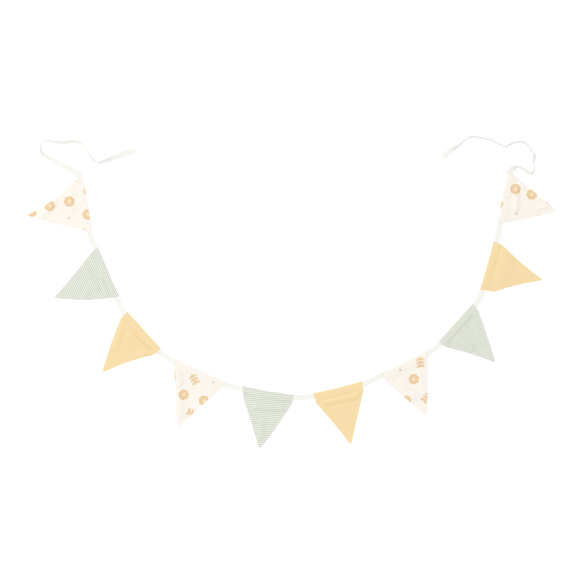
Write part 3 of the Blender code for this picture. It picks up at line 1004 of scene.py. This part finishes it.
def woven(graph, place, colour):
    """A plain woven cotton of a colour: threads over and under, slubs along them, and soft patches."""
    u, v = graph.split(place)
    warp = graph.math("SINE", u * (math.tau / THREAD_PITCH))
    weft = graph.math("SINE", v * (math.tau / THREAD_PITCH))
    weave = warp * weft * 0.5 + 0.5
    slubs = graph.noise(place, SLUB_WIDTH, SLUB_LENGTH) + graph.noise(place, SLUB_LENGTH, SLUB_WIDTH)
    patches = graph.noise(place, PATCH_SIZE, PATCH_SIZE)
    # Painted shade: the colour is darker in the weave's low places and lighter on its high ones. The slubs
    # and patches are the cloth's own colour.
    painted_shade_and_tone = graph.ramp(weave, *WEAVE_PAINTED_SHADE) + (slubs - 1.0) * SLUB_SHADE + (patches - 0.5) * PATCH_SHADE
    height = weave + slubs * SLUB_RELIEF
    roughness = graph.ramp(weave, *CLOTH_ROUGHNESS)
    return graph.finish(graph.dimmed(colour, painted_shade_and_tone), roughness, height, WEAVE_DEPTH)


def plain_cloth():
    """Plain soft yellow cotton."""
    graph = Graph("plain_cotton")
    return woven(graph, graph.pattern_place(), shown_colour(*YELLOW))


def stripe_cloth():
    """Fine sage stripes on off-white, woven in, a little uneven."""
    graph = Graph("striped_cotton")
    place = graph.pattern_place()
    v = graph.split(place)[1]
    drift = (graph.noise(place, *STRIPE_DRIFT_SIZE) - 0.5) * STRIPE_DRIFT
    wave = graph.math("SINE", (v / STRIPE_PERIOD + drift) * math.tau)
    sage = graph.between(wave, -STRIPE_EDGE, STRIPE_EDGE)
    return woven(graph, place, graph.blend(sage, shown_colour(*STRIPE_WHITE), shown_colour(*STRIPE_SAGE)))


def bloom(graph, x, y):
    """A round flower: how far each place is in its petals, in its lines, and in its middle."""
    radius = graph.length(x, y)
    angle = graph.math("ARCTAN2", y, x)
    lobes = abs(graph.math("COSINE", angle * (PETALS / 2)))
    edge = graph.math("POWER", lobes, 0.6) * (BLOOM_OUTER - BLOOM_INNER) + BLOOM_INNER
    over = radius - edge
    petals = graph.between(over, 0.5, 0.0)
    outline = graph.between(abs(over + 1.1), 1.4, 0.8)
    valleys = (1.0 - graph.between(lobes, 0.10, 0.22)) * petals
    valleys = valleys * graph.between(radius, MIDDLE_RADIUS + 1.4, MIDDLE_RADIUS + 2.2)
    middle = graph.between(radius, MIDDLE_RADIUS + 0.4, MIDDLE_RADIUS - 0.4)
    return petals, graph.math("MAXIMUM", outline, valleys), middle


def sprig(graph, x, y):
    """A sprig with three pairs of leaves: how far each place is in its leaves, and in its lines."""
    side = abs(x)
    pair = graph.math("ROUND", y / LEAF_PITCH)
    pair = graph.math("MINIMUM", graph.math("MAXIMUM", pair, -1.0), 1.0)
    off_x = side - LEAF_PLACE[0]
    off_y = y - pair * LEAF_PITCH - LEAF_PLACE[1]
    sine = math.sin(math.radians(LEAF_LEAN))
    cosine = math.cos(math.radians(LEAF_LEAN))
    across = (off_x * cosine + off_y * sine) / LEAF_HALF[0]
    along = (off_y * cosine - off_x * sine) / LEAF_HALF[1]
    reach = across * across + along * along
    leaves = graph.between(reach, 1.10, 0.90)
    outline = leaves * graph.between(reach, 0.45, 0.65)
    stem = graph.between(side, 1.0, 0.6) * graph.between(abs(y), STEM_HALF + 1.0, STEM_HALF)
    return leaves, graph.math("MAXIMUM", outline, stem)


def blade(graph, x, y):
    """One long thin stroke, bent like a blade of grass."""
    away = abs(graph.length(x + BLADE_BEND, y) - BLADE_BEND)
    return graph.between(away, 0.8, 0.4) * graph.between(abs(y), BLADE_HALF + 2.0, BLADE_HALF)


def strokes(graph, x, y):
    """Three tiny strokes that fan out from one point."""
    side = abs(x)
    fan = abs(side - (y + 4.0) * 0.55)
    nearest = graph.math("MINIMUM", fan, side)
    return graph.between(nearest, 0.75, 0.4) * graph.between(abs(y), 4.2, 3.6)


def print_cell(graph, place):
    """The x and y in a cell of the repeat, moved and turned by the cell's chances, and its kind."""
    u, v = graph.split(place)
    u = u * (1000 / REPEAT)
    v = v * (1000 / REPEAT)
    column = graph.math("FLOOR", u)
    v = v + graph.math("FLOORED_MODULO", column, 2.0) * 0.5
    row = graph.math("FLOOR", v)
    kind, shift_x, shift_y, spin = graph.chances(graph.join(column, row))
    x = (u - column - 0.5) * REPEAT + (shift_x - 0.5) * JITTER
    y = (v - row - 0.5) * REPEAT + (shift_y - 0.5) * JITTER
    sine = graph.math("SINE", spin * math.tau)
    cosine = graph.math("COSINE", spin * math.tau)
    return x * cosine - y * sine, x * sine + y * cosine, kind


def print_cloth(name, strength):
    """Cream cotton with a sparse print of flowers, sprigs and grass strokes in ochre and sage."""
    graph = Graph(name)
    place = graph.pattern_place()
    x, y, kind = print_cell(graph, place)
    petals, petal_line, middle = bloom(graph, x, y)
    leaves, leaf_line = sprig(graph, x, y)
    is_bloom = kind < BLOOMS_TO
    is_grass = kind > GRASS_FROM
    is_blade = kind > BLADES_FROM
    is_sprig = 1.0 - is_bloom - is_grass
    grass = blade(graph, x, y) * is_blade + strokes(graph, x, y) * (1.0 - is_blade)
    layers = (
        (petals * is_bloom + leaves * is_sprig, OCHRE),
        (petal_line * is_bloom + leaf_line * is_sprig, DEEP_OCHRE),
        (middle * is_bloom, PALE_YELLOW),
        (grass * is_grass, GRASS_SAGE),
    )
    faded = graph.noise(place, FADE_SIZE, FADE_SIZE) * FADE + (strength - FADE / 2)
    colour = shown_colour(*CREAM)
    for share, ink in layers:
        colour = graph.blend(share * faded, colour, shown_colour(*ink))
    return woven(graph, place, colour)


def twill_tape():
    """Off-white cotton herringbone tape, its twill lines changing direction in bands across it."""
    graph = Graph("twill_cotton")
    place = graph.pattern_place()
    along, across = graph.split(place)
    band = graph.math("FLOOR", across / TWILL_BAND)
    lean = graph.math("FLOORED_MODULO", band, 2.0) * 2.0 - 1.0
    ribs = graph.wave((along + across * lean) / TWILL_PITCH)
    slubs = graph.noise(place, *TAPE_SLUB_SIZE)
    patches = graph.noise(place, *TAPE_PATCH_SIZE)
    # Painted shade: the twill's grooves are darker and its ribs lighter. The slubs and patches are the
    # tape's own colour.
    painted_shade_and_tone = graph.ramp(ribs, *TWILL_PAINTED_SHADE) + slubs * TAPE_SLUB_SHADE + (patches - 0.5) * PATCH_SHADE
    height = ribs + slubs * TAPE_SLUB_RELIEF
    roughness = graph.ramp(ribs, *TAPE_ROUGHNESS)
    graph.shade({
        "Subsurface Weight": TAPE_THROUGH,
        "Subsurface Radius": (1.0, 1.0, 1.0),
        "Subsurface Scale": TAPE_THROUGH_REACH,
    })
    colour = graph.dimmed(shown_colour(*TAPE_WHITE), painted_shade_and_tone)
    return graph.finish(colour, roughness, height, TWILL_DEPTH, TAPE_SHEEN)


def sewing_thread(name, colour):
    """Twisted cotton thread, seen on the stitches."""
    graph = Graph(name)
    coordinates = graph.add("ShaderNodeTexCoord")
    wave = graph.add("ShaderNodeTexWave", bands_direction="DIAGONAL")
    wave.inputs["Scale"].default_value = TWIST_SCALE
    graph.tree.links.new(coordinates.outputs["Object"], wave.inputs["Vector"])
    twist = Value(graph, wave.outputs["Fac"])
    # Painted shade: the twist's grooves are darker and its ridges lighter.
    colour = graph.dimmed(shown_colour(*colour), graph.ramp(twist, *THREAD_PAINTED_SHADE))
    return graph.finish(colour, graph.ramp(twist, *THREAD_ROUGHNESS), twist, THREAD_DEPTH)


def make_floor():
    """The pale surface that the bunting lies on."""
    size = FLOOR_HALF
    corners = [(-size, -size), (size, -size), (size, size), (-size, size)]
    data = bpy.data.meshes.new("floor")
    data.from_pydata([(x, y, -FLOOR_GAP) for x, y in corners], [], [(0, 1, 2, 3)])
    graph = Graph("pale_floor")
    graph.shade({
        "Base Color": FLOOR_WHITE,
        "Roughness": FLOOR_ROUGHNESS,
        "Specular IOR Level": FLOOR_GLOSS,
    })
    data.materials.append(graph.material)
    add_object("floor", data)


def make_camera():
    """The camera, straight above the bunting as in the photograph."""
    data = bpy.data.cameras.new("camera")
    data.sensor_width = SENSOR
    data.lens = SENSOR * CAMERA_HEIGHT / FRAME_WIDTH
    thing = add_object("camera", data)
    thing.location = (*FRAME_MIDDLE, CAMERA_HEIGHT)
    bpy.context.scene.camera = thing


def make_lights():
    """A bright even studio, with wide soft light from the upper left and a softbox on the left."""
    scene = bpy.context.scene
    scene.view_settings.view_transform = "Standard"
    world = bpy.data.worlds.new("studio")
    world.use_nodes = True
    background = world.node_tree.nodes["Background"]
    background.inputs["Color"].default_value = (1.0, 1.0, 1.0, 1.0)
    background.inputs["Strength"].default_value = STUDIO_STRENGTH
    scene.world = world
    sun = bpy.data.lights.new("window_light", "SUN")
    sun.energy = SUN_ENERGY
    sun.angle = math.radians(SUN_SPREAD)
    softbox = bpy.data.lights.new("softbox", "AREA")
    softbox.shape = "DISK"
    softbox.size = SOFTBOX_SIZE
    softbox.energy = SOFTBOX_ENERGY
    for lamp, place in ((sun, SUN_PLACE), (softbox, SOFTBOX_PLACE)):
        lamp.use_shadow = False
        thing = add_object(lamp.name, lamp)
        thing.location = place
        thing.rotation_euler = Vector(place).to_track_quat("Z", "Y").to_euler()
        thing.visible_camera = False


def make_tape():
    """The tape, with its place on the uncut cloth, in place of the plain tape part."""
    shell, travelled = tape_shell()
    tape = new_object("twill_tape", shell, [twill_tape()])
    add_pattern_map(tape, shell)
    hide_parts("tape")
    return tape


def make_flag(number, flag, cut, cloth, cloth_materials, thread):
    """One flag of one kind of cloth, with the row of stitches of its casing."""
    name = f"flag_{number:02d}_{cloth}"
    piece_shell = flag_shell(number, flag, cut)
    piece = new_object(f"cloth_{name}", piece_shell, cloth_materials, flag)
    add_pattern_map(piece, piece_shell)
    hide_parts(name)
    stitches = new_object(f"stitches_{number:02d}", stitch_shell(number, flag), [thread], flag)


def make_bunting():
    """The tape, and the ten flags on it in their three kinds of cloth."""
    tape = make_tape()
    cloths = {
        "print": [print_cloth("printed_cotton", 1.0), print_cloth("printed_cotton_reverse", REVERSE_PRINT)],
        "stripe": [stripe_cloth()],
        "plain": [plain_cloth()],
    }
    threads = {
        "print": sewing_thread("cream_thread", CREAM_THREAD),
        "stripe": sewing_thread("sage_thread", SAGE_THREAD),
        "plain": sewing_thread("yellow_thread", YELLOW_THREAD),
    }
    for number, (flag, cut) in enumerate(zip(FLAGS, CUTS), start=1):
        cloth = CLOTH_ORDER[(number - 1) % len(CLOTH_ORDER)]
        make_flag(number, flag, cut, cloth, cloths[cloth], threads[cloth])


make_bunting()
make_floor()
make_camera()
make_lights()
